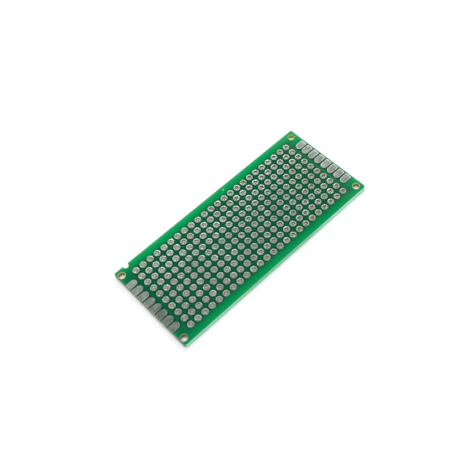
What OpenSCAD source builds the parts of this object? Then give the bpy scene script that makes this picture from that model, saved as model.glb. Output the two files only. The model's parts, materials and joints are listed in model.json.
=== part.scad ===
// Double-sided prototype board: a grid of plated lead holes between two rows of edge pads.
// The origin is the centre of the outline, on the plane that the pads of the underside touch.
// +X runs along the length, +Y towards the notched edge and +Z up through the holes.

/* [Board] */
// Length of the cut outline
board_l = 69; // [68.5:0.1:100]
// Width of the cut outline
board_w = 29.8; // [29:0.1:60]
// Finished thickness over the pads of both faces
board_t = 1.6; // [0.6:0.1:3.2]
// Radius of the two corners on the front edge
front_corner_r = 0.6; // [0.2:0.1:0.8]
// Radius of the two corners on the back edge
back_corner_r = 0.2; // [0.1:0.1:0.8]
// How far the outline was cut off the centre of the pads, towards the right end
cut_shift = 0.3; // [0:0.1:0.4]

/* [Lead holes] */
// Distance between the centres of neighbouring holes and pads
pitch = 2.54; // [2.45:0.01:2.6]
// Number of lead holes along the length
columns = 24; // [4:1:24]
// Number of lead holes along the width
rows = 10; // [2:1:10]
// Diameter of a lead hole inside its plating
lead_hole_d = 0.96; // [0.8:0.02:1.2]
// Thickness of the plating on the wall of a lead hole
plating_t = 0.05; // [0.03:0.01:0.1]
// Outer diameter of the ring pad round a lead hole
ring_pad_d = 2.04; // [1.7:0.02:2.2]

/* [Pads] */
// Height of a pad's crown above the laminate
pad_t = 0.07; // [0.05:0.01:0.12]
// Height of a pad's rim above the laminate
pad_rim_t = 0.035; // [0.02:0.005:0.045]

/* [Edge pads] */
// Number of edge pads at each end
edge_pads = 8; // [2:1:8]
// Width of an edge pad
edge_pad_w = 2; // [1.2:0.1:2.2]
// Length of an edge pad before the outline is cut
edge_pad_l = 3.2; // [1.6:0.1:3.3]
// Radius of the outer corners of an edge pad
edge_pad_corner_r = 0.3; // [0.1:0.05:0.6]
// Distance from the pads' outer ends to where the board's end is drawn
edge_pad_setback = 0.12; // [0.05:0.01:0.5]

/* [Mounting holes] */
// Diameter of a mounting hole
mount_hole_d = 2; // [1.4:0.1:2.2]
// Distance from a mounting hole's centre to where the board's end is drawn
mount_inset_x = 1.5; // [1.4:0.1:1.8]
// Distance from a mounting hole's centre to the long edge
mount_inset_y = 1.9; // [1.5:0.1:2.2]
// Width of the bare ring of laminate round a mounting hole
mount_ring_w = 0.25; // [0.15:0.1:0.45]

/* [Notch] */
// Width of the notch in the back edge
notch_w = 1.74; // [1:0.02:2]
// Depth of the notch
notch_depth = 1.1; // [0.9:0.1:1.6]
// Distance from the notch's middle to the left end
notch_x = 3.9; // [3.7:0.1:4.6]

/* [Solder mask] */
// Thickness of the film of solder mask
mask_t = 0.04; // [0.02:0.01:0.06]
// Gap between a pad and the solder mask round it
mask_gap = 0.09; // [0.04:0.01:0.12]

/* [Hidden] */
function row_name(row) = str("eyelets_row_", chr(97 + row));

$fn = 48;
left = -1;
right = 1;
// A cut runs this far past the faces that it opens
over = 1;
crown_steps = 4;

laminate_t = board_t - 2 * pad_t;
laminate_top = board_t - pad_t;
// The pads and holes are drawn about this line, and the outline is cut about zero
drawn_x = -cut_shift;
drawn_end = board_l / 2;
barrel_d = lead_hole_d + 2 * plating_t;
crown_rise = pad_t - pad_rim_t;
// The least solder mask left between two openings in it
mask_web = 0.15;

// The edge pads share the rows' pitch, and close up where more of them have to pass between the
// mounting holes
edge_pad_reach =
    board_w / 2 - mount_inset_y - mount_hole_d / 2 - mount_ring_w
    - mask_web - mask_gap - edge_pad_w / 2;
edge_pad_pitch = min(pitch, 2 * edge_pad_reach / (edge_pads - 1));
edge_pad_width = min(edge_pad_w, edge_pad_pitch - 2 * mask_gap - mask_web);

function column_x(column) = drawn_x + (column - (columns - 1) / 2) * pitch;
function row_y(row) = ((rows - 1) / 2 - row) * pitch;
function edge_pad_y(k) = ((edge_pads - 1) / 2 - k) * edge_pad_pitch;
function edge_pad_outer_x(end) = drawn_x + end * (drawn_end - edge_pad_setback);
function mount_x(end) = drawn_x + end * (drawn_end - mount_inset_x);
function mount_y(side) = side * (board_w / 2 - mount_inset_y);

// What a square corner has outside its rounding, drawn about the rounding's centre
module corner_waste(r) {
    difference() {
        square(r + over);
        circle(r);
    }
}

module notch_cut() {
    centre_y = board_w / 2 - notch_depth + notch_w / 2;
    translate([notch_x - board_l / 2, centre_y]) {
        circle(d = notch_w);
        translate([-notch_w / 2, 0]) square([notch_w, notch_depth + over]);
    }
}

module outline() {
    difference() {
        square([board_l, board_w], center = true);
        for (sx = [-1, 1], sy = [-1, 1]) {
            r = sy > 0 ? back_corner_r : front_corner_r;
            into_corner(sx, sy) translate([board_l / 2 - r, board_w / 2 - r]) corner_waste(r);
        }
        notch_cut();
    }
}

// Mirrors what is drawn in the right back corner into the corner on sides sx and sy
module into_corner(sx, sy) {
    mirror([sx < 0 ? 1 : 0, 0]) mirror([0, sy < 0 ? 1 : 0]) children();
}

module at_lead_holes() {
    for (row = [0 : rows - 1], column = [0 : columns - 1])
        translate([column_x(column), row_y(row)]) children();
}

module at_mounting_holes() {
    for (end = [left, right], side = [-1, 1])
        translate([mount_x(end), mount_y(side)]) children();
}

// An edge pad's outline about its own long axis, widened by a margin, with its outer end at
// zero and its rounded inner end towards -X
module edge_pad_shape(margin) {
    half_w = edge_pad_width / 2 + margin;
    corner_r = edge_pad_corner_r + margin;
    translate([half_w - margin - edge_pad_l, 0]) circle(half_w);
    translate([half_w - margin - edge_pad_l, -half_w])
        square([edge_pad_l + 2 * margin - half_w - corner_r, 2 * half_w]);
    translate([margin - 2 * corner_r, corner_r - half_w])
        square([2 * corner_r, 2 * (half_w - corner_r)]);
    for (side = [-1, 1])
        translate([margin - corner_r, side * (half_w - corner_r)]) circle(corner_r);
}

module at_edge_pads(end) {
    for (k = [0 : edge_pads - 1])
        translate([edge_pad_outer_x(end), edge_pad_y(k)]) mirror([end == left ? 1 : 0, 0]) children();
}

module laminate() {
    color("darkolivegreen")
        translate([0, 0, pad_t])
            linear_extrude(laminate_t)
                difference() {
                    outline();
                    at_lead_holes() circle(d = barrel_d);
                    at_mounting_holes() circle(d = mount_hole_d);
                }
}

module solder_mask(face_z) {
    color("seagreen")
        translate([0, 0, face_z])
            linear_extrude(mask_t)
                difference() {
                    outline();
                    at_lead_holes() circle(d = ring_pad_d + 2 * mask_gap);
                    at_mounting_holes() circle(d = mount_hole_d + 2 * mount_ring_w);
                    for (end = [left, right]) at_edge_pads(end) edge_pad_shape(mask_gap);
                }
}

// Half of a tinned eyelet's section, upwards from the middle of the laminate: the wall of the
// hole, the crown of the ring pad, the pad's rim and the outside of the barrel
function eyelet_half() = concat(
    [for (i = [0 : crown_steps])
        [
            lead_hole_d / 2 + (ring_pad_d - lead_hole_d) / 2 * i / crown_steps,
            laminate_t / 2 + pad_rim_t + crown_rise * sin(180 * i / crown_steps)
        ]],
    [[ring_pad_d / 2, laminate_t / 2], [barrel_d / 2, laminate_t / 2]]
);

function below(points) = [for (i = [len(points) - 1 : -1 : 0]) [points[i].x, -points[i].y]];

module plated_hole() {
    rotate_extrude() polygon(concat(eyelet_half(), below(eyelet_half())));
}

module plated_hole_row(row) {
    color("silver")
        for (column = [0 : columns - 1])
            translate([column_x(column), row_y(row), board_t / 2]) plated_hole();
}

// The section across an edge pad, with its base at zero: highest along the middle of the pad and
// down to the rim's height at the sides, where it runs on past the pad
function crown_section() = concat(
    [for (i = [-crown_steps : crown_steps])
        let (share = i / (crown_steps - 1))
        [share * edge_pad_width / 2, pad_t - crown_rise * pow(share, 2)]],
    [[edge_pad_width, -over], [-edge_pad_width, -over]]
);

// One end's pads on the top face, each cut off where the outline is
module edge_pad_row(end) {
    color("gainsboro")
        for (k = [0 : edge_pads - 1])
            translate([0, edge_pad_y(k), laminate_top])
                intersection() {
                    linear_extrude(board_t)
                        intersection() {
                            translate([0, -edge_pad_y(k)]) outline();
                            translate([edge_pad_outer_x(end), 0])
                                mirror([end == left ? 1 : 0, 0]) edge_pad_shape(0);
                        }
                    rotate([90, 0, 90])
                        linear_extrude(board_l + over, center = true) polygon(crown_section());
                }
}

module edge_pad_row_bottom(end) {
    translate([0, 0, board_t]) mirror([0, 0, 1]) edge_pad_row(end);
}

laminate();
solder_mask(laminate_top);  // solder_mask_top
solder_mask(pad_t - mask_t);  // solder_mask_bottom
for (row = [0 : rows - 1]) plated_hole_row(row);
edge_pad_row(left);  // edge_pads_left_top
edge_pad_row_bottom(left);  // edge_pads_left_bottom
edge_pad_row(right);  // edge_pads_right_top
edge_pad_row_bottom(right);  // edge_pads_right_bottom
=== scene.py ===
# Prototype board: green solder mask, tinned lead holes and edge pads, sawn glass-fibre edges
import json
import math
import random

import bmesh
import bpy
from mathutils import Euler, Matrix, Vector, noise


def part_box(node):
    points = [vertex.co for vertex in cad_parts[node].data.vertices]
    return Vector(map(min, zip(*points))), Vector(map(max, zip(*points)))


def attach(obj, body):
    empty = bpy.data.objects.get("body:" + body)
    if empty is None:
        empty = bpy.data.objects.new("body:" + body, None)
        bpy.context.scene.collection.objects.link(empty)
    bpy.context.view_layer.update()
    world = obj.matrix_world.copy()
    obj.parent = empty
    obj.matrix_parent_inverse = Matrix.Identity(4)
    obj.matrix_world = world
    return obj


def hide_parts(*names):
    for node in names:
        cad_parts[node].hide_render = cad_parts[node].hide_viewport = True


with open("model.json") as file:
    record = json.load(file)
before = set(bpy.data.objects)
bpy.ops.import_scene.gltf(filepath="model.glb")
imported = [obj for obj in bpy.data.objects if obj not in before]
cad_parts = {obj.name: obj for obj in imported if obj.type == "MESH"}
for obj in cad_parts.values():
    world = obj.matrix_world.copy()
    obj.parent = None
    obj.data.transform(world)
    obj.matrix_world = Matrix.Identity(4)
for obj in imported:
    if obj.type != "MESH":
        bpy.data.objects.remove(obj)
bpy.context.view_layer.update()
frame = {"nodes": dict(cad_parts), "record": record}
nodes = frame["nodes"]
mm = 0.001
print("frame loaded:", len(nodes), "nodes")


# Camera

cameraPose = {
    "azimuth": -36.25,      # degrees round from the front long edge towards the left end
    "elevation": 58.62,     # degrees above the board
    "roll": 8.29,           # degrees that the photograph is turned
    "distance": 201.35,     # mm from the point aimed at
    "aim": (-2.878, -0.830, 1.641),
    "lens": 54.93,          # mm
    "sensor": 36,           # mm wide
    "nearest": 0.005,       # metres, the nearest and the furthest that it sees
    "furthest": 20,
}


def makeCamera(pose):
    data = bpy.data.cameras.new("camera")
    data.lens = pose["lens"]
    data.sensor_width = pose["sensor"]
    data.clip_start = pose["nearest"]
    data.clip_end = pose["furthest"]
    camera = bpy.data.objects.new("camera", data)
    bpy.context.scene.collection.objects.link(camera)
    azimuth, elevation = math.radians(pose["azimuth"]), math.radians(pose["elevation"])
    away = Vector((math.sin(azimuth) * math.cos(elevation), -math.cos(azimuth) * math.cos(elevation),
                   math.sin(elevation)))
    turn = Euler((math.pi / 2 - elevation, 0, azimuth)).to_matrix() @ Matrix.Rotation(
        -math.radians(pose["roll"]), 3, "Z")
    place = (Vector(pose["aim"]) + away * pose["distance"]) * mm
    camera.matrix_world = Matrix.Translation(place) @ turn.to_4x4()
    bpy.context.scene.camera = camera


makeCamera(cameraPose)
print("camera set")


# Sizes of the board, read from the frame

def boxOf(name):
    low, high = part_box(name)
    return low, high, (low + high) / 2


rowNames = sorted(name for name in nodes if name.startswith("eyelets_row_"))
mounts = {mount["name"]: mount for mount in frame["record"]["mounts"]}

boardLow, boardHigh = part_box("laminate")
rowLow, rowHigh, rowMid = boxOf(rowNames[0])
ringRadius = (rowHigh.y - rowLow.y) / 2
leadHoleRadius = mounts["lead_hole_a1"]["dims"]["r_mm"] * mm
holeCorner = Vector(mounts["lead_hole_a1"]["pos_m"])
rowCount = len(rowNames)
pitch = (2 * holeCorner.y) / (rowCount - 1)
gridX = rowMid.x
columnCount = round((rowHigh.x - rowLow.x - 2 * ringRadius) / pitch) + 1
padTopZ, padBottomZ = rowHigh.z, rowLow.z

# The same in mm, as the materials read places
endX, sideY = boardHigh.x * 1000, boardHigh.y * 1000
gridMiddle = gridX * 1000
halfColumns = (columnCount - 1) / 2 * pitch * 1000
halfRows = (rowCount - 1) / 2 * pitch * 1000


# Shader and geometry nodes, written as Python expressions

class Signal:
    def __init__(self, sheet, socket):
        self.sheet = sheet
        self.socket = socket

    def maths(self, operation, other=0.0):
        return self.sheet.add("ShaderNodeMath", {"operation": operation}, [self, other])

    def __add__(self, other):
        return self.maths("ADD", other)

    def __mul__(self, other):
        return self.maths("MULTIPLY", other)

    def __sub__(self, other):
        return self.maths("SUBTRACT", other)

    def __rsub__(self, other):
        return self.sheet.add("ShaderNodeMath", {"operation": "SUBTRACT"}, [other, self])

    __radd__ = __add__
    __rmul__ = __mul__

    def absolute(self):
        return self.maths("ABSOLUTE")

    def most(self, other):
        return self.maths("MAXIMUM", other)

    def least(self, other):
        return self.maths("MINIMUM", other)

    def power(self, other):
        return self.maths("POWER", other)

    # 0 below start and 1 above end, with a soft rise between; end may be the lower one
    def rise(self, start, end):
        return self.sheet.add("ShaderNodeMapRange", {"interpolation_type": "SMOOTHSTEP"},
                              {"Value": self, "From Min": start, "From Max": end})


class Sheet:
    def __init__(self, tree):
        self.tree = tree

    # Settings come first, then the values or links of the sockets, by name or in order
    def add(self, kind, settings=None, inputs=None, output=0):
        node = self.tree.nodes.new(kind)
        for name, value in (settings or {}).items():
            setattr(node, name, value)
        pairs = inputs.items() if isinstance(inputs, dict) else enumerate(inputs or [])
        for name, value in pairs:
            self.give(node.inputs[name], value)
        return Signal(self, node.outputs[output])

    def give(self, socket, value):
        if isinstance(value, Signal):
            self.tree.links.new(value.socket, socket)
        else:
            socket.default_value = value

    def xyz(self, vector):
        split = self.add("ShaderNodeSeparateXYZ", {}, [vector]).socket.node
        return [Signal(self, split.outputs[axis]) for axis in "XYZ"]

    # The place in the part's own frame, in mm
    def place(self):
        return self.scaled(self.add("ShaderNodeTexCoord", {}, {}, "Object"), 1000.0)

    def scaled(self, vector, share):
        return self.add("ShaderNodeVectorMath", {"operation": "SCALE"}, {"Vector": vector, "Scale": share})

    def attribute(self, name):
        return self.add("ShaderNodeAttribute", {"attribute_name": name}, {}, "Fac")

    def cloud(self, vector, scale, detail=3.0, rough=0.55):
        return self.add("ShaderNodeTexNoise", {}, {"Vector": vector, "Scale": scale, "Detail": detail,
                                                   "Roughness": rough})

    def blend(self, share, first, second):
        node = self.add("ShaderNodeMix", {"data_type": "RGBA"}, {}).socket.node
        for name, value in (("Factor_Float", share), ("A_Color", first), ("B_Color", second)):
            self.give(next(s for s in node.inputs if s.identifier == name), value)
        return Signal(self, next(s for s in node.outputs if s.identifier == "Result_Color"))

    def squash(self, vector, x, y, z):
        return self.add("ShaderNodeVectorMath", {"operation": "MULTIPLY"}, [vector, (x, y, z)])

    def bump(self, height, strength, depth):
        return self.add("ShaderNodeBump", {}, {"Height": height, "Strength": strength, "Distance": depth})


def colour(red, green, blue):
    # From the 0-255 values of a screen to linear light
    def linear(value):
        share = value / 255
        return share / 12.92 if share <= 0.04045 else ((share + 0.055) / 1.055) ** 2.4
    return (linear(red), linear(green), linear(blue), 1.0)


def makeMaterial(name, paint, fixed):
    material = bpy.data.materials.new(name)
    material.use_nodes = True
    sheet = Sheet(material.node_tree)
    shader = material.node_tree.nodes["Principled BSDF"]
    for socket, value in {**fixed, **paint(sheet)}.items():
        sheet.give(shader.inputs[socket], value)
    material.diffuse_color = (0.5, 0.5, 0.5, 1)
    return material


# mm from the nearest of the holes that stand at the pitch, evenly about zero
def inCell(value, count):
    step = pitch * 1000
    start = 100 * step if count % 2 == 0 else 100.5 * step
    return (value + start).maths("MODULO", step) - step / 2


def fromPoint(x, y):
    return (x * x + y * y).power(0.5)


# Both ends of a rise that is given from an edge or from the outermost holes
def past(edge, ends):
    return [edge + end for end in ends]


# Solder mask: dark green with painted shade between the pads, and bright green with painted light along the
# borders

maskLook = {
    "gridGreen": colour(5, 85, 54),
    "haloShadeGreen": colour(6, 60, 38),
    "borderLitGreen": colour(0, 147, 79),
    "edgeHighlightGreen": colour(142, 184, 178),
    "sheenAndScratch": colour(150, 176, 158),
    "webGrime": colour(128, 110, 104),
    "speckGreen": colour(120, 244, 150),
    "roughness": 0.22,
    "leftShade": 0.25,          # how much of the bright green the left end loses
    "frontShade": 0.25,         # and the front edge
    "speck": (5.25, 13.75),     # where the back border has a pale speck, in mm
    "scratchX": 30.4,           # mm from the grid's middle, where a fine scratch lies
    # each pair below is where a soft rise starts and ends, in mm
    "halo": (1.55, 1.1),        # from a lead hole's centre
    "haloEnd": (1.5, 1.0),      # past the outermost holes
    "longBorder": (11.2, 14.6),     # from the centre line
    "rightBorder": (-0.6, 6.0),     # past the last column
    "leftBorder": (-0.8, -1.8),     # past the first column
    "leftTip": (-3.4, -5.0),
    "besidePads": (9.6, 10.6),      # clear of the edge pads: beside them, past them and inside them
    "pastPads": (34.3, 34.7),
    "insidePads": (31.1, 30.5),
    "rightPart": (20.0, 22.0),
    "websAlong": (30.9, 31.5),      # between the edge pads
    "websAcross": (10.3, 9.9),
    "leftPart": (-22.0, -34.0),
    "frontPart": (-9.0, -13.0),
    "backCut": (-0.9, 0.0),         # past each cut edge
    "frontCut": (0.35, 0.0),
    "endCuts": (-0.4, 0.0),
    "rightCut": (-1.1, -0.2),
    "grimeAlong": (2.6, 0.4),       # past the left end
    "grimeAcross": (10.4, 9.8),
    "scratchWidth": (0.10, 0.03),
    "scratchBack": (-0.8, -1.2),
    "scratchFront": (-8.2, -7.6),
    "sheenStart": (24.0, 30.0),
    "sheenEnd": (34.0, 31.0),
    "speckSize": (0.34, 0.14),
}


def paintMask(sheet):
    look = maskLook
    place = sheet.place()
    x, y = sheet.xyz(place)[:2]
    fromGrid = x - gridMiddle
    # painted shade: a darker halo round each ring pad, and dark webs between the edge pads, where the pads
    # keep light from coming through the laminate
    halo = fromPoint(inCell(fromGrid, columnCount), inCell(y, rowCount)).rise(*look["halo"])
    halo = halo * fromGrid.absolute().rise(*past(halfColumns, look["haloEnd"]))
    halo = halo * y.absolute().rise(*past(halfRows, look["haloEnd"]))
    webs = fromGrid.absolute().rise(*look["websAlong"]) * y.absolute().rise(*look["websAcross"]) * 0.9
    # painted light: the borders brighten outwards, as if lit through the laminate, but not among the edge
    # pads; painted shade dims them towards the left end and the front
    wander = sheet.cloud(place, 0.35, 2.0)
    sides = ((y + 0.2).absolute() + (wander - 0.5) * 0.6).rise(*look["longBorder"])
    rightEnd = fromGrid.rise(*past(halfColumns, look["rightBorder"]))
    leftEnd = fromGrid.rise(*past(-halfColumns, look["leftBorder"])) * 0.25
    leftEnd = leftEnd + fromGrid.rise(*past(-halfColumns, look["leftTip"])) * 0.35
    clear = y.absolute().rise(*look["besidePads"]).most(fromGrid.rise(*look["pastPads"]))
    clear = clear.most(fromGrid.rise(*look["insidePads"]) * fromGrid.rise(*look["rightPart"]))
    glow = sides.most(rightEnd.most(leftEnd) * clear)
    left = fromGrid.rise(*look["leftPart"]) * look["leftShade"]
    front = y.rise(*look["frontPart"]) * look["frontShade"]
    glow = glow * (1.0 - left) * (1.0 - front)
    base = sheet.blend(halo.most(webs), look["gridGreen"], look["haloShadeGreen"])
    base = sheet.blend(glow, base, look["borderLitGreen"])
    # painted highlight: the film is paler along the cut edges, less along the front one, where the top edges
    # catch the light
    cutY = y.rise(*past(sideY, look["backCut"])).most(y.rise(*past(-sideY, look["frontCut"])) * 0.6)
    cutX = x.absolute().rise(*past(endX, look["endCuts"])).most(x.rise(*past(endX, look["rightCut"])) * 0.7)
    base = sheet.blend(cutY.most(cutX) * (0.05 + wander * 0.21), base, look["edgeHighlightGreen"])
    # grime between the outer ends of the left pads
    grime = x.rise(*past(-endX, look["grimeAlong"])) * y.absolute().rise(*look["grimeAcross"])
    base = sheet.blend(grime * (0.1 + wander * 0.3), base, look["webGrime"])
    # painted sheen: the film is faintly paler towards the right end; and a fine scratch past the last column
    scratch = (fromGrid - look["scratchX"]).absolute().rise(*look["scratchWidth"])
    scratch = scratch * y.rise(*look["scratchBack"]) * y.rise(*look["scratchFront"])
    sheenAndScratch = fromGrid.rise(*look["sheenStart"]) * fromGrid.rise(*look["sheenEnd"]) * 0.025 + scratch * 0.12
    base = sheet.blend(sheenAndScratch, base, look["sheenAndScratch"])
    speck = fromPoint(x - look["speck"][0], y - look["speck"][1]).rise(*look["speckSize"]) * 0.7
    base = sheet.blend(speck, base, look["speckGreen"])
    # fine mottling of the printed film
    mottle = sheet.cloud(place, 1.7, 4.0, 0.6)
    tinted = sheet.scaled(base, 0.88 + mottle * 0.24)
    grain = sheet.cloud(place, 9.0, 2.0)
    swell = sheet.cloud(place, 0.9, 2.0)
    height = swell * 0.7 + grain * 0.08 + halo * -0.6
    scuffs = sheet.cloud(sheet.squash(place, 0.5, 6.0, 1.0), 1.3, 3.0).rise(0.62, 0.75)
    return {
        "Base Color": tinted,
        "Roughness": look["roughness"] + mottle * 0.12 + scuffs * 0.14,
        "Normal": sheet.bump(height, 0.25, 0.00004),
    }


# Laminate: pale green resin and glass, seen on the sawn edges, in the bare rings and in the holes

laminateLook = {
    "sawnEdge": colour(126, 214, 168),
    "sawnShade": colour(92, 192, 138),
    "sawnCore": colour(152, 220, 186),
    "sawnBright": colour(207, 255, 234),
    "sawnTop": colour(28, 206, 138),
    "sawnEnd": colour(80, 87, 77),
    "copper": colour(206, 130, 72),
    "glassFibre": colour(196, 218, 184),
    "resin": colour(160, 184, 92),
    "padGap": colour(58, 82, 56),
    "drilled": colour(104, 96, 52),
    "yellowTint": colour(170, 214, 92),
    "brownTint": colour(130, 120, 74),
    "ringResin": colour(196, 190, 124),
    "ringGlass": colour(226, 216, 184),
    "ringPale": colour(232, 220, 176),
    "ringGreen": colour(24, 118, 66),
    "footShadeLine": colour(122, 104, 92),
    # each pair below is where a soft rise starts and ends, in mm; heights are from the table
    "outerFace": (-0.25, -0.1),     # past the cut edges
    "leftFace": (0.3, 0.15),        # past the left end
    "coreTop": (1.3, 0.95),
    "coreFoot": (0.15, 0.5),
    "underFilm": (1.2, 1.45),
    "foot": (0.42, 0.16),
    "wallDark": (0.2, 1.2),
    "wallPale": (1.0, 1.2),
    "bothEnds": (8.0, 20.0),        # where the long edges are brighter
    "rightPart": (12.0, 28.0),
    "footFrom": (-8.0, 4.0),        # and where the painted shade along their foot starts and fades
    "footUntil": (8.0, 24.0),
    "copperFront": (-5.4, -4.6),    # bounds of the bare copper on the left face
    "copperBack": (2.6, 1.9),
    "copperFoot": (0.7, 1.0),
    "yellowX": (20.0, 25.0),        # the tinted corners
    "yellowY": (5.0, 8.0),
    "brownX": (-20.0, -25.0),
    "brownY": (-5.0, -8.0),
    "ringArea": (1.6, 1.4),         # from a mounting hole's centre
    "ringPaint": (1.04, 1.12),
}


def paintLaminate(sheet):
    look = laminateLook
    place = sheet.place()
    x, y, z = sheet.xyz(place)
    normal = sheet.add("ShaderNodeNewGeometry", {}, {}, "Normal")
    side = sheet.xyz(normal)[2].absolute().rise(0.6, 0.3)
    outer = y.absolute().rise(*past(sideY, look["outerFace"]))
    outer = outer.most(x.absolute().rise(*past(endX, look["outerFace"])))
    # layers drawn out along the cut edge, and upright marks across them
    layers = sheet.cloud(sheet.squash(place, 0.5, 0.5, 9.0), 1.6, 4.0)
    marks = sheet.cloud(sheet.squash(place, 7.0, 7.0, 0.7), 1.2, 3.0)
    weave = sheet.cloud(sheet.squash(place, 2.5, 2.5, 2.5), 1.4, 3.0)
    sawn = sheet.blend(layers.rise(0.38, 0.62), look["sawnShade"], look["sawnEdge"])
    sawn = sheet.blend(marks.rise(0.55, 0.75) * 0.55, sawn, look["glassFibre"])
    band = z.rise(*look["coreTop"]) * z.rise(*look["coreFoot"]) * (0.35 + layers * 0.4)
    sawn = sheet.blend(band, sawn, look["sawnCore"])
    bright = x.absolute().rise(*look["bothEnds"]) * 0.75 + x.rise(*look["rightPart"]) * 0.85
    sawn = sheet.blend(bright * band, sawn, look["sawnBright"])
    # greener just under the film, and dull on the face of the left end
    leftFace = x.rise(*past(-endX, look["leftFace"]))
    sawn = sheet.blend(z.rise(*look["underFilm"]) * 0.6, sawn, look["sawnTop"])
    sawn = sheet.blend(leftFace * 0.8, sawn, look["sawnEnd"])
    # patches of bare copper on that face; painted shade: a darker line along the foot of the edges, where
    # they meet the table
    copper = leftFace * y.rise(*look["copperFront"]) * y.rise(*look["copperBack"])
    copper = copper * z.rise(*look["copperFoot"])
    sawn = sheet.blend(copper * (weave + marks * 0.5).rise(0.72, 0.86), sawn, look["copper"])
    foot = z.rise(*look["foot"]) * (0.45 + x.rise(*look["footFrom"]) * 0.55) * (0.35 + marks * 0.6)
    foot = foot * (1.0 - x.rise(*look["footUntil"]) * 0.7)
    sawn = sheet.blend(foot * 0.58, sawn, look["footShadeLine"])
    wall = sheet.blend(z.rise(*look["wallDark"]), look["resin"], look["drilled"])
    wall = sheet.blend(z.rise(*look["wallPale"]) * 0.9, wall, look["ringPale"])
    # the bare rings round the mounting holes are pale, the narrow gaps round the pads dark
    holeX, holeY = [value * 1000 for value in mounts["mounting_holes"]["pos_m"][:2]]
    spacing = mounts["mounting_holes"]["dims"]
    fromHole = fromPoint((x - holeX).absolute() - spacing["spacing_x_mm"] / 2,
                         (y - holeY).absolute() - spacing["spacing_y_mm"] / 2)
    bare = sheet.blend(weave.rise(0.3, 0.7), look["ringResin"], look["ringGlass"])
    # the hole at the back of the right end is tinted yellow, and the one at the front left brown
    yellow = x.rise(*look["yellowX"]) * y.rise(*look["yellowY"])
    bare = sheet.blend(yellow * 0.85, bare, look["yellowTint"])
    wall = sheet.blend(yellow * 0.8, wall, look["yellowTint"])
    brown = x.rise(*look["brownX"]) * y.rise(*look["brownY"])
    wall = sheet.blend(brown * 0.75, wall, look["brownTint"])
    bare = sheet.blend(brown * 0.6, bare, look["brownTint"])
    # the outside of each ring is painted green, so the rings look narrower than they are modelled
    bare = sheet.blend((fromHole + (weave - 0.5) * 0.1).rise(*look["ringPaint"]), bare, look["ringGreen"])
    bare = sheet.blend(fromHole.rise(*look["ringArea"]), look["padGap"], bare)
    body = sheet.blend(side, bare, sheet.blend(outer, wall, sawn))
    height = marks * 0.8 + layers * 0.6
    return {
        "Base Color": body,
        "Roughness": 0.62 - side * 0.04,
        "Normal": sheet.bump(height, 0.5, 0.00005),
    }


# Tin on the lead holes: bright uneven crowns with painted glints, dull patches, painted shade on the front
# of each ring, and painted shade and light down the holes

tinLook = {
    "bright": colour(204, 237, 214),
    "dull": colour(122, 142, 128),
    "stain": colour(150, 132, 122),
    "paintedGlint": colour(238, 246, 240),
    "blotch": colour(90, 106, 94),
    "knee": colour(176, 138, 130),
    "rimGreen": colour(40, 112, 70),
    "barrelMouthShade": colour(106, 86, 80),
    "barrelDeepLight": colour(246, 242, 234),
    "barrelFarLight": colour(244, 236, 228),
    "dullness": 0.37,               # of a pad, where 0 is bright and 1 dull
    "padSpread": 0.3,               # how much it changes from one pad to the next
    "driftSpread": 1.25,            # and slowly, over several pads
    "backLightShare": 0.34,              # how much brighter the back rows are painted, as painted light from behind
    "wornShare": 0.4,               # how much duller the front left ones are
    "freshShare": 0.14,             # and how much brighter the front right ones
    "frontShadeShare": 0.19,             # how much darker the front of each ring is painted, as painted shade
    "greenShare": 0.84,             # how green the outer edge of each ring is
    "mouthShadeDepth": 0.23,             # mm that the painted shade at the mouth of a hole reaches down
    # each pair below is where a soft rise starts and ends, in mm
    "backLitRows": (1.5, 7.5),
    "wornRows": (2.0, -8.0),
    "wornColumns": (12.0, -20.0),
    "freshRows": (-2.0, -8.0),
    "freshColumns": (2.0, 18.0),
    "shadedRingFront": (-0.2, -0.6),      # from the hole's centre
    "deeperMouths": (-24.0, 16.0),
    "rightMouths": (12.0, 30.0),
    "leftMouths": (4.0, -10.0),
    "farSide": (-24.0, 26.0),
}


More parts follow.
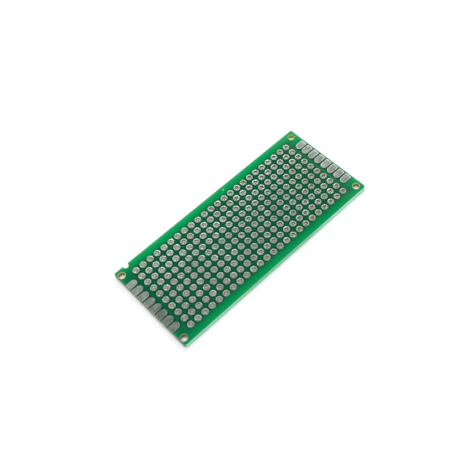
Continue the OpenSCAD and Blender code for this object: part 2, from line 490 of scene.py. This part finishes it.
def paintTin(sheet):
    look = tinLook
    place = sheet.place()
    x, y, z = sheet.xyz(place)
    # dullness of the tin: neighbours are alike, and the front left ones dull; painted light: the back rows
    # are painted brighter, as if lit from behind
    back = y.rise(*look["backLitRows"])
    worn = y.rise(*look["wornRows"]) * x.rise(*look["wornColumns"])
    drift = sheet.cloud(sheet.squash(place, 1.0, 1.0, 0.0), 0.13, 2.0)
    fresh = y.rise(*look["freshRows"]) * x.rise(*look["freshColumns"])
    tone = sheet.attribute("padTone") * look["padSpread"] + look["dullness"] - back * look["backLightShare"]
    tone = tone + worn * look["wornShare"] - fresh * look["freshShare"]
    tone = (tone + (drift - 0.5) * look["driftSpread"]).most(0.0).least(1.0)
    wall = sheet.attribute("wallFace")
    rim = sheet.attribute("rimShare")
    patches = sheet.cloud(place, 1.3, 3.0)
    fine = sheet.cloud(place, 4.5, 3.0)
    base = sheet.blend(patches.rise(0.4, 0.62) * 0.3 + tone.power(2.0) * 0.42, look["bright"], look["dull"])
    base = sheet.blend(fine.rise(0.58, 0.72) * tone * 0.5, base, look["stain"])
    blotch = sheet.cloud(place, 2.6, 3.0, 0.6).rise(0.5, 0.62) * (0.12 + worn * 0.5)
    base = sheet.blend(blotch, base, look["blotch"])
    # the knee of each hole is tinted reddish; painted shade: the front of each ring is painted darker, in
    # the blotch colour
    knee = sheet.attribute("kneeShare").rise(0.6, 1.0) * (0.22 + fine * 0.5)
    base = sheet.blend(knee, base, look["knee"])
    front = inCell(y, rowCount).rise(*look["shadedRingFront"]) * (1.0 - wall)
    base = sheet.blend(front * look["frontShadeShare"], base, look["blotch"])
    # painted highlight: the rim of each pad is painted white in broken arcs, as glints, with less metal
    # there
    paintedGlint = rim * 0.9 + (fine - 0.5) * (worn * 3.2 + 3.3) - tone * 0.3 - front * 0.2 + 0.15 + back * 0.1
    paintedGlint = paintedGlint.rise(0.5, 0.8) * (1.0 - wall) * (1.0 - knee)
    base = sheet.blend(paintedGlint, base, look["paintedGlint"])
    # the outer edge of each ring is painted green, so the pads look narrower than they are modelled
    greened = rim.rise(0.54, 0.86) * look["greenShare"] * (1.0 - wall)
    base = sheet.blend(greened, base, look["rimGreen"])
    # painted shade and light: the plated wall is painted dark at its mouths, as shadow, and pale further in,
    # as if lit from below; how far the shadow reaches changes along the board
    middle = (boardHigh.z + boardLow.z) * 500
    depth = padTopZ * 1000 - middle - (z - middle).absolute()
    reach = look["mouthShadeDepth"] + x.rise(*look["deeperMouths"]) * 0.26
    reach = reach - x.rise(*look["rightMouths"]) * 0.1 - back * x.rise(*look["leftMouths"]) * 0.06
    deep = depth.rise(reach - 0.14, reach + 0.14)
    lit = sheet.blend(x.rise(*look["farSide"]), look["barrelDeepLight"], look["barrelFarLight"])
    base = sheet.blend(wall, base, sheet.blend(deep, look["barrelMouthShade"], lit))
    return {
        "Base Color": base,
        "Metallic": (1.0 - paintedGlint * 0.8) * (1.0 - greened * 0.6),
        "Roughness": 0.10 + tone * 0.2 + patches * 0.12,
        "Normal": sheet.bump(patches + fine * 0.4, 1.0, 0.00012),
    }


# Tin on the edge pads: cleaner at the right end, dull and streaked at the left

edgeTinLook = {
    "bright": colour(209, 226, 215),
    "dull": colour(159, 175, 167),
    "grime": colour(112, 122, 117),
    "stain": tinLook["stain"],
    "core": colour(168, 172, 165),
    "wiped": colour(208, 214, 206),
    "scratch": colour(112, 108, 106),
    "paintedGlint": tinLook["paintedGlint"],
    "rimGreen": tinLook["rimGreen"],
    "copper": colour(196, 120, 62),
    "streakTurn": 0.12,             # radians that the streaks are turned off the pads' length
    "streakStretch": (2.2, 0.5, 1.0),
    # each pair below is where a soft rise starts and ends, in mm
    "dullSide": (10.0, -10.0),
    "cleanRows": (4.0, 8.0),
    "grimyRows": (2.0, -3.0),
    "frontPad": (-8.2, -7.2),       # the frontmost pad is less grimy than its neighbours
    "outerEnds": (-1.1, -0.5),      # past the right end
    "greenUntil": (33.4, 32.4),     # where the green of the side rims ends
    "cutFace": (0.03, 0.005),       # past the left end
}


def paintEdgeTin(sheet):
    look = edgeTinLook
    place = sheet.place()
    x, y = sheet.xyz(place)[:2]
    patches = sheet.cloud(sheet.squash(place, 0.5, 1.5, 1.0), 1.1, 3.0)
    fine = sheet.cloud(place, 5.0, 3.0)
    dullSide = x.rise(*look["dullSide"])
    cleanRows = y.rise(*look["cleanRows"])
    dirt = (patches.rise(0.38, 0.6) * 0.7 + dullSide * (0.4 - cleanRows * 0.4)).least(1.0)
    base = sheet.blend(dirt, look["bright"], look["dull"])
    grimy = 0.16 + y.rise(*look["frontPad"]) * 0.34 + patches.rise(0.3, 0.6) * 0.35
    base = sheet.blend(dullSide * y.rise(*look["grimyRows"]) * grimy, base, look["grime"])
    base = sheet.blend(fine.rise(0.6, 0.75) * 0.35, base, look["stain"])
    # streaks and specks nearly along the pads: pale on the left ones, grey over the cores of the right
    rim = sheet.attribute("rimShare")
    turned = sheet.add("ShaderNodeMapping", {"vector_type": "TEXTURE"},
                       {"Vector": place, "Rotation": (0.0, 0.0, look["streakTurn"]),
                        "Scale": look["streakStretch"]})
    streaks = sheet.cloud(turned, 0.8, 3.0).rise(0.47, 0.6)
    core = rim.rise(0.7, 0.2)
    specks = sheet.cloud(turned, 2.4, 2.0, 0.7)
    lines = sheet.cloud(sheet.squash(place, 0.5, 4.0, 1.0), 1.5, 2.0).rise(0.5, 0.6)
    shade = core * (0.2 + streaks * 0.4 + specks.rise(0.5, 0.4) * 0.3)
    base = sheet.blend(shade * (1.0 - dullSide), base, look["core"])
    base = sheet.blend(shade * dullSide * (0.6 - cleanRows * 0.25), base, look["grime"])
    base = sheet.blend((streaks * 0.3 + specks.rise(0.54, 0.66) * 0.4) * dullSide, base, look["wiped"])
    base = sheet.blend(specks.rise(0.46, 0.34) * dullSide * 0.45, base, look["grime"])
    base = sheet.blend(core * lines * (0.55 - dullSide * 0.03), base, look["scratch"])
    # painted highlight: a brighter rim, and brighter still at the outer ends of the right pads, painted
    # white as glints
    outerEnd = x.rise(*past(endX, look["outerEnds"]))
    paintedGlint = (rim * 1.2 + outerEnd * 0.45 + (fine - 0.5) * 2.4 - dullSide * 0.3).rise(0.6, 0.95)
    base = sheet.blend(paintedGlint, base, look["paintedGlint"])
    # the side rims are painted green, so the pads look narrower than they are modelled
    greened = rim.rise(0.72, 0.96) * (0.6 + dullSide * 0.2) * x.rise(*look["greenUntil"])
    base = sheet.blend(greened, base, look["rimGreen"])
    base = sheet.blend(x.rise(*past(boardLow.x * 1000, look["cutFace"])), base, look["copper"])
    return {
        "Base Color": base,
        "Metallic": (0.95 - paintedGlint * 0.5) * (1.0 - greened * 0.6),
        "Roughness": 0.36 + dullSide * 0.12 + patches * 0.14,
        "Normal": sheet.bump(patches + fine * 0.3, 0.7, 0.00008),
    }


maskMaterial = makeMaterial("solderMask", paintMask, {"Specular IOR Level": 0.04})
laminateMaterial = makeMaterial("glassLaminate", paintLaminate, {"Specular IOR Level": 0.3})
tinMaterial = makeMaterial("tinnedHoles", paintTin, {})
edgeTinMaterial = makeMaterial("tinnedEdgePads", paintEdgeTin, {})
print("materials made")

for name, material in (("laminate", laminateMaterial), ("solder_mask_top", maskMaterial),
                       ("solder_mask_bottom", maskMaterial)):
    nodes[name].data.materials.clear()
    nodes[name].data.materials.append(material)


def newObject(name, mesh):
    thing = bpy.data.objects.new(name, mesh)
    bpy.context.scene.collection.objects.link(thing)
    return thing


def onBoard(piece, slot, *replaced):
    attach(piece, "root")
    if replaced:
        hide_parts(*replaced)


# Plated lead holes

eyelet = {
    "segments": 16,
    "rimHeight": 0.055,     # mm of the ring pad's inner rim above the laminate
    "crest": 0.5,           # where the crown is highest, from the hole to the outer rim
    "toneSeed": 7,
}


def eyeletMesh(size):
    # Half of the section above the middle of the laminate, then mirrored downwards
    laminateHalf = (boardHigh.z - boardLow.z) / 2
    crown = padTopZ - boardHigh.z
    rim = size["rimHeight"] * mm
    crest = leadHoleRadius + (ringRadius - leadHoleRadius) * size["crest"]
    # radius, height and how much it belongs to the rim
    half = [
        (leadHoleRadius, laminateHalf + rim, 0.2),
        (crest, laminateHalf + crown, 0.0),
        (ringRadius, laminateHalf, 1.0),
    ]
    section = half + [(radius, -height, share) for radius, height, share in reversed(half)]
    mesh = bpy.data.meshes.new("eyelet")
    shape = bmesh.new()
    rimShare = shape.verts.layers.float.new("rimShare")
    kneeShare = shape.verts.layers.float.new("kneeShare")
    wallFace = shape.faces.layers.float.new("wallFace")
    rings = []
    for radius, height, share in section:
        ring = []
        for k in range(size["segments"]):
            angle = math.tau * k / size["segments"]
            vert = shape.verts.new((radius * math.cos(angle), radius * math.sin(angle), height))
            vert[rimShare] = share
            vert[kneeShare] = float(radius == leadHoleRadius)
            ring.append(vert)
        rings.append(ring)
    for i, ring in enumerate(rings):
        following = rings[(i + 1) % len(rings)]
        for k in range(size["segments"]):
            after = (k + 1) % size["segments"]
            face = shape.faces.new((ring[k], ring[after], following[after], following[k]))
            face.smooth = True
            face[wallFace] = float(i == len(rings) - 1)
    bmesh.ops.recalc_face_normals(shape, faces=shape.faces)
    shape.to_mesh(mesh)
    shape.free()
    return mesh


def gridTree(stamp, material):
    tree = bpy.data.node_groups.new("holeGrid", "GeometryNodeTree")
    for name, kind in (("Pitch", "NodeSocketFloat"), ("Columns", "NodeSocketInt"), ("Rows", "NodeSocketInt"),
                       ("Centre", "NodeSocketVector"), ("Seed", "NodeSocketInt")):
        tree.interface.new_socket(name=name, in_out="INPUT", socket_type=kind)
    tree.interface.new_socket(name="Geometry", in_out="OUTPUT", socket_type="NodeSocketGeometry")
    sheet = Sheet(tree)
    given = sheet.add("NodeGroupInput", {}, {}).socket.node
    asked = {socket.name: Signal(sheet, socket) for socket in given.outputs if socket.name}
    lengthX = (asked["Columns"] - 1) * asked["Pitch"]
    lengthY = (asked["Rows"] - 1) * asked["Pitch"]
    grid = sheet.add("GeometryNodeMeshGrid", {}, {
        "Size X": lengthX, "Size Y": lengthY,
        "Vertices X": asked["Columns"], "Vertices Y": asked["Rows"],
    })
    placed = sheet.add("GeometryNodeTransform", {}, {"Geometry": grid, "Translation": asked["Centre"]})
    stampGeometry = sheet.add("GeometryNodeObjectInfo", {}, {"Object": stamp}, "Geometry")
    spin = randomFloat(sheet, 0.0, math.tau, asked["Seed"])
    turn = sheet.add("ShaderNodeCombineXYZ", {}, {"Z": spin})
    stamped = sheet.add("GeometryNodeInstanceOnPoints", {}, {"Points": placed, "Instance": stampGeometry,
                                                             "Rotation": turn})
    tone = randomFloat(sheet, 0.0, 1.0, asked["Seed"] + 1)
    stored = sheet.add("GeometryNodeStoreNamedAttribute", {"data_type": "FLOAT", "domain": "INSTANCE"},
                       {"Geometry": stamped, "Name": "padTone", "Value": tone})
    solid = sheet.add("GeometryNodeRealizeInstances", {}, [stored])
    finished = sheet.add("GeometryNodeSetMaterial", {}, {"Geometry": solid, "Material": material})
    result = tree.nodes.new("NodeGroupOutput")
    tree.links.new(finished.socket, result.inputs["Geometry"])
    return tree


def randomFloat(sheet, low, high, seed):
    node = sheet.tree.nodes.new("FunctionNodeRandomValue")
    node.data_type = "FLOAT"
    values = [s for s in node.inputs if s.type == "VALUE" and s.name in ("Min", "Max")]
    values[0].default_value = low
    values[1].default_value = high
    sheet.give(next(s for s in node.inputs if s.name == "Seed"), seed)
    return Signal(sheet, next(s for s in node.outputs if s.type == "VALUE" and s.enabled))


def settle(thing, name):
    # Turns a live modifier's result into a plain mesh and drops the modifier
    evaluated = thing.evaluated_get(bpy.context.evaluated_depsgraph_get())
    mesh = bpy.data.meshes.new_from_object(evaluated)
    mesh.name = name
    old = thing.data
    thing.modifiers.clear()
    thing.data = mesh
    bpy.data.meshes.remove(old)


def makeHoles():
    stamp = newObject("eyeletStamp", eyeletMesh(eyelet))
    holes = newObject("tinnedHoles", bpy.data.meshes.new("tinnedHolesStart"))
    tree = gridTree(stamp, tinMaterial)
    modifier = holes.modifiers.new("grid", "NODES")
    modifier.node_group = tree
    values = {"Pitch": pitch, "Columns": columnCount, "Rows": rowCount,
              "Centre": (gridX, 0.0, (padTopZ + padBottomZ) / 2), "Seed": eyelet["toneSeed"]}
    for item in tree.interface.items_tree:
        if item.in_out == "INPUT":
            modifier[item.identifier] = values[item.name]
    settle(holes, "tinnedHoles")
    bpy.data.objects.remove(stamp)
    onBoard(holes, "tinned_holes", *rowNames)
    print("tinned holes:", rowCount * columnCount, "eyelets,", len(holes.data.polygons), "faces")


makeHoles()


# Edge pads

edgePad = {
    "cornerRadius": 0.3,    # mm at the outer corners
    "rimHeight": 0.035,     # mm of the pad's rim above the laminate
    "roundSteps": 12,
    "cornerSteps": 4,
    "unevenness": 0.012,    # mm that the tin wanders up and down
    "waveLength": 0.7,      # mm
    "rimStart": 0.7,        # where a pad's rim begins, and its width, in shares of the half width
    "rimWidth": 0.3,
    "sharpAngle": 50,       # degrees
}


def padsAlong(low, high):
    return round((high.y - low.y) / pitch)


def padOutline(length, width, size):
    # Anticlockwise from the start of the outer end's lower corner; the round end is towards -X
    half, corner = width / 2, size["cornerRadius"] * mm
    points = []
    for side in (-1, 1):
        for k in range(size["cornerSteps"] + 1):
            angle = math.pi / 2 * k / size["cornerSteps"] + (0 if side > 0 else -math.pi / 2)
            x, y = -corner + corner * math.cos(angle), side * (half - corner) + corner * math.sin(angle)
            points.append((x, y))
    for k in range(size["roundSteps"] + 1):
        angle = math.pi / 2 + math.pi * k / size["roundSteps"]
        points.append((half - length + half * math.cos(angle), half * math.sin(angle)))
    return points


def addPad(shape, outer, inner, centreY, width, face, size):
    # face is 1 on the top and -1 on the underside; outer is cut off at the board's end
    direction = 1 if outer > inner else -1
    length = abs(outer - inner)
    base = boardHigh.z if face > 0 else boardLow.z
    crown = padTopZ - boardHigh.z
    rim = size["rimHeight"] * mm
    spine = (width / 2 - length, -width / 2)
    loops = []
    rimShare = shape.verts.layers.float["rimShare"]
    # share of the pad's half width, and the height there
    for inset, height in ((1.0, 0.0), (1.0, rim), (0.93, rim + (crown - rim) * 0.5), (0.78, crown * 0.9),
                          (0.5, crown), (0.22, crown)):
        loop = []
        for px, py in padOutline(length, width, size):
            middle = min(max(px, spine[0]), spine[1])
            qx, qy = middle + (px - middle) * inset, py * inset
            x, y = outer + direction * qx, centreY + qy
            x = max(x, boardLow.x)
            wander = noise.noise(Vector((x, y, base * 9)) / (size["waveLength"] * mm))
            wander = wander * size["unevenness"] * mm
            lift = height + (wander - size["unevenness"] * mm if inset < 0.9 else 0)
            vert = shape.verts.new((x, y, base + face * max(lift, 0)))
            vert[rimShare] = max(0.0, (inset - size["rimStart"]) / size["rimWidth"])
            loop.append(vert)
        loops.append(loop)
    count = len(loops[0])
    for lower, upper in zip(loops, loops[1:]):
        for k in range(count):
            shape.faces.new((lower[k], lower[(k + 1) % count], upper[(k + 1) % count], upper[k]))
    shape.faces.new(loops[0])
    shape.faces.new(loops[-1])


def makeEdgePads(size):
    for end in ("left", "right"):
        for side, face in (("top", 1), ("bottom", -1)):
            node = f"edge_pads_{end}_{side}"
            low, high, mid = boxOf(node)
            count = padsAlong(low, high)
            width = high.y - low.y - (count - 1) * pitch
            outer, inner = (low.x, high.x) if end == "left" else (high.x, low.x)
            mesh = bpy.data.meshes.new(f"{end}{side.title()}Tin")
            shape = bmesh.new()
            shape.verts.layers.float.new("rimShare")
            for k in range(count):
                addPad(shape, outer, inner, mid.y + (k - (count - 1) / 2) * pitch, width, face, size)
            bmesh.ops.recalc_face_normals(shape, faces=shape.faces)
            for polygon in shape.faces:
                polygon.smooth = True
            shape.to_mesh(mesh)
            shape.free()
            mesh.set_sharp_from_angle(angle=math.radians(size["sharpAngle"]))
            pads = newObject(f"{end}{side.title()}Tin", mesh)
            pads.data.materials.append(edgeTinMaterial)
            onBoard(pads, "tinned_edge_pads", node)
    print("edge pads made")


makeEdgePads(edgePad)


# Frayed left end: loose glass fibres and thin burrs of copper

frayedEnd = {
    "fibres": 110,
    "fibreSpread": (-11.5, 9.0, -6.0),  # mm across the board: from, to and most often
    "fibreHeight": (0.15, 1.2),         # mm above the table
    "fibreLength": (0.15, 0.7),         # mm
    "fibreLean": (-0.9, 0.9),           # sideways, as a share of the length
    "fibreDroop": (0.1, 0.7),           # and downwards
    "fibreRoot": 0.05,                  # mm that a fibre starts inside the end
    "fibreLowest": 0.03,                # mm above the table
    "fibreRadius": 0.014,
    "fibreSides": 3,
    "fibreSteps": 3,
    "burrPads": (3, 4, 5),              # counted from the back edge
    "burrsEach": 2,
    "burrStart": (-0.9, 0.2),           # mm from the pad's middle
    "burrLength": (0.5, 1.0),
    "burrDepth": (0.0, 0.25),           # mm below the top of the laminate
    "burrDrop": 0.10,                   # mm that a burr sinks along its length
    "burrDropSpread": (0.6, 1.4),
    "burrRadius": 0.045,
    "burrSides": 4,
    "burrSteps": 4,
    "seed": 11,
}


def addStrand(shape, points, radius, sides):
    rings = []
    for i, point in enumerate(points):
        along = (points[min(i + 1, len(points) - 1)] - points[max(i - 1, 0)]).normalized()
        across = along.cross(Vector((0.1, 0.2, 1.0))).normalized()
        up = across.cross(along)
        thin = radius * (0.4 if i == len(points) - 1 else 1.0)
        rings.append([shape.verts.new(point + (across * math.cos(math.tau * k / sides)
                                               + up * math.sin(math.tau * k / sides)) * thin)
                      for k in range(sides)])
    for lower, upper in zip(rings, rings[1:]):
        for k in range(sides):
            after = (k + 1) % sides
            shape.faces.new((lower[k], lower[after], upper[after], upper[k]))
    shape.faces.new(list(reversed(rings[0])))
    shape.faces.new(rings[-1])


def finishStrands(name, shape, material, slot):
    bmesh.ops.recalc_face_normals(shape, faces=shape.faces)
    mesh = bpy.data.meshes.new(name)
    shape.to_mesh(mesh)
    shape.free()
    thing = newObject(name, mesh)
    mesh.materials.append(material)
    onBoard(thing, slot)


def makeFrayedEnd(size):
    chance = random.Random(size["seed"])
    end = boardLow.x
    fibres = bmesh.new()
    for k in range(size["fibres"]):
        y = chance.triangular(*size["fibreSpread"]) * mm
        z = chance.uniform(*size["fibreHeight"]) * mm
        length = chance.uniform(*size["fibreLength"]) * mm
        lean, droop = chance.uniform(*size["fibreLean"]), chance.uniform(*size["fibreDroop"])
        points = []
        for step in range(size["fibreSteps"] + 1):
            share = step / size["fibreSteps"]
            points.append(Vector((end + size["fibreRoot"] * mm - length * (share + 0.08),
                                  y + lean * length * share,
                                  max(z - droop * length * share ** 2, size["fibreLowest"] * mm))))
        addStrand(fibres, points, size["fibreRadius"] * mm, size["fibreSides"])
    finishStrands("looseFibres", fibres, fibreMaterial, "laminate")
    burrs = bmesh.new()
    padCount = padsAlong(*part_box("edge_pads_left_top"))
    for pad in size["burrPads"]:
        middle = ((padCount - 1) / 2 - pad) * pitch
        for part in range(size["burrsEach"]):
            start = middle + chance.uniform(*size["burrStart"]) * mm
            length = chance.uniform(*size["burrLength"]) * mm
            height = boardHigh.z - chance.uniform(*size["burrDepth"]) * mm
            points = []
            for step in range(size["burrSteps"] + 1):
                share = step / size["burrSteps"]
                drop = size["burrDrop"] * mm * share * chance.uniform(*size["burrDropSpread"])
                points.append(Vector((end - (0.01 + 0.07 * math.sin(math.pi * share)) * mm,
                                      start + length * share, height - drop)))
            addStrand(burrs, points, size["burrRadius"] * mm, size["burrSides"])
    finishStrands("copperBurrs", burrs, burrMaterial, "tinned_edge_pads")
    print("frayed end made")


def unpainted(sheet):
    return {}


fibreMaterial = makeMaterial("looseGlass", unpainted, {"Base Color": colour(212, 220, 214),
                                                       "Roughness": 0.4})
burrMaterial = makeMaterial("bareCopper", unpainted, {"Base Color": colour(222, 140, 84),
                                                      "Metallic": 0.85, "Roughness": 0.35})
makeFrayedEnd(frayedEnd)


# Floor, dome and lamps

studio = {
    "floorSize": 3.0,               # metres
    "floorGrey": 0.82,
    "floorGlow": 0.16,              # light that the floor gives, as a light table does
    "gridGlow": 0.22,               # and under the grid of holes
    "glowOutside": (0.4, 5.0),      # mm past the board's edge, where the first starts and is full
    "glowInside": (-2.4, -3.2),     # and the second
    "domeLow": 1.0,                 # brightness of the dome at the horizon
    "domeHigh": 0.36,               # brightness over most of it
    "domeTop": 0.7,                 # brightness straight overhead
    "domeFades": (0.15, 0.65),      # heights on the dome, as sines, between which it changes
    "domeBrightens": (0.87, 0.94),
    "lampPlace": (0.02, 0.06, 0.55),
    "lampSize": 0.35,
    "lampPower": 2.32,
    "backPlace": (0.27, 0.38, 0.27),
    "backSize": 0.16,
    "backPower": 0.42,
}


def makeFloor(size):
    mesh = bpy.data.meshes.new("floor")
    shape = bmesh.new()
    half = size["floorSize"] / 2
    corners = [shape.verts.new((x * half, y * half, 0)) for x, y in ((-1, -1), (1, -1), (1, 1), (-1, 1))]
    shape.faces.new(corners)
    shape.to_mesh(mesh)
    shape.free()
    floor = newObject("floor", mesh)
    grey = size["floorGrey"]

    # the floor glows away from the board and under the grid of holes, and not near the board's edge
    def paintFloor(sheet):
        x, y = sheet.xyz(sheet.place())[:2]
        beyond = (x.absolute() - endX).most(y.absolute() - sideY)
        glow = beyond.rise(*size["glowOutside"]) * size["floorGlow"]
        glow = glow + beyond.rise(*size["glowInside"]) * size["gridGlow"]
        return {"Emission Color": sheet.blend(glow, (0, 0, 0, 1), (1, 1, 1, 1))}

    material = makeMaterial("paleFloor", paintFloor, {"Base Color": (grey, grey, grey, 1), "Roughness": 0.9,
                                                      "Specular IOR Level": 0.0, "Emission Strength": 1.0})
    floor.data.materials.append(material)


def makeDome(size):
    world = bpy.data.worlds.new("softDome")
    world.use_nodes = True
    bpy.context.scene.world = world
    sheet = Sheet(world.node_tree)
    direction = sheet.add("ShaderNodeTexCoord", {}, {}, "Generated")
    up = sheet.xyz(direction)[2]
    level = (size["domeLow"] + up.rise(*size["domeFades"]) * (size["domeHigh"] - size["domeLow"])
             + up.rise(*size["domeBrightens"]) * (size["domeTop"] - size["domeHigh"]))
    background = world.node_tree.nodes["Background"]
    sheet.give(background.inputs["Strength"], level)
    background.inputs["Color"].default_value = (1, 1, 1, 1)


def makeLamp(name, place, size, power, mirrored):
    data = bpy.data.lights.new(name, "AREA")
    data.shape = "SQUARE"
    data.size = size
    data.energy = power
    lamp = bpy.data.objects.new(name, data)
    lamp.visible_glossy = mirrored
    bpy.context.scene.collection.objects.link(lamp)
    away = Vector(place)
    lamp.matrix_world = Matrix.Translation(away) @ away.to_track_quat("Z", "Y").to_matrix().to_4x4()


makeFloor(studio)
makeDome(studio)
# the tin mirrors the low box behind the board and the dome, not the box overhead
makeLamp("overheadBox", studio["lampPlace"], studio["lampSize"], studio["lampPower"], False)
makeLamp("backBox", studio["backPlace"], studio["backSize"], studio["backPower"], True)
bpy.context.scene.view_settings.view_transform = "Standard"
print("studio made")
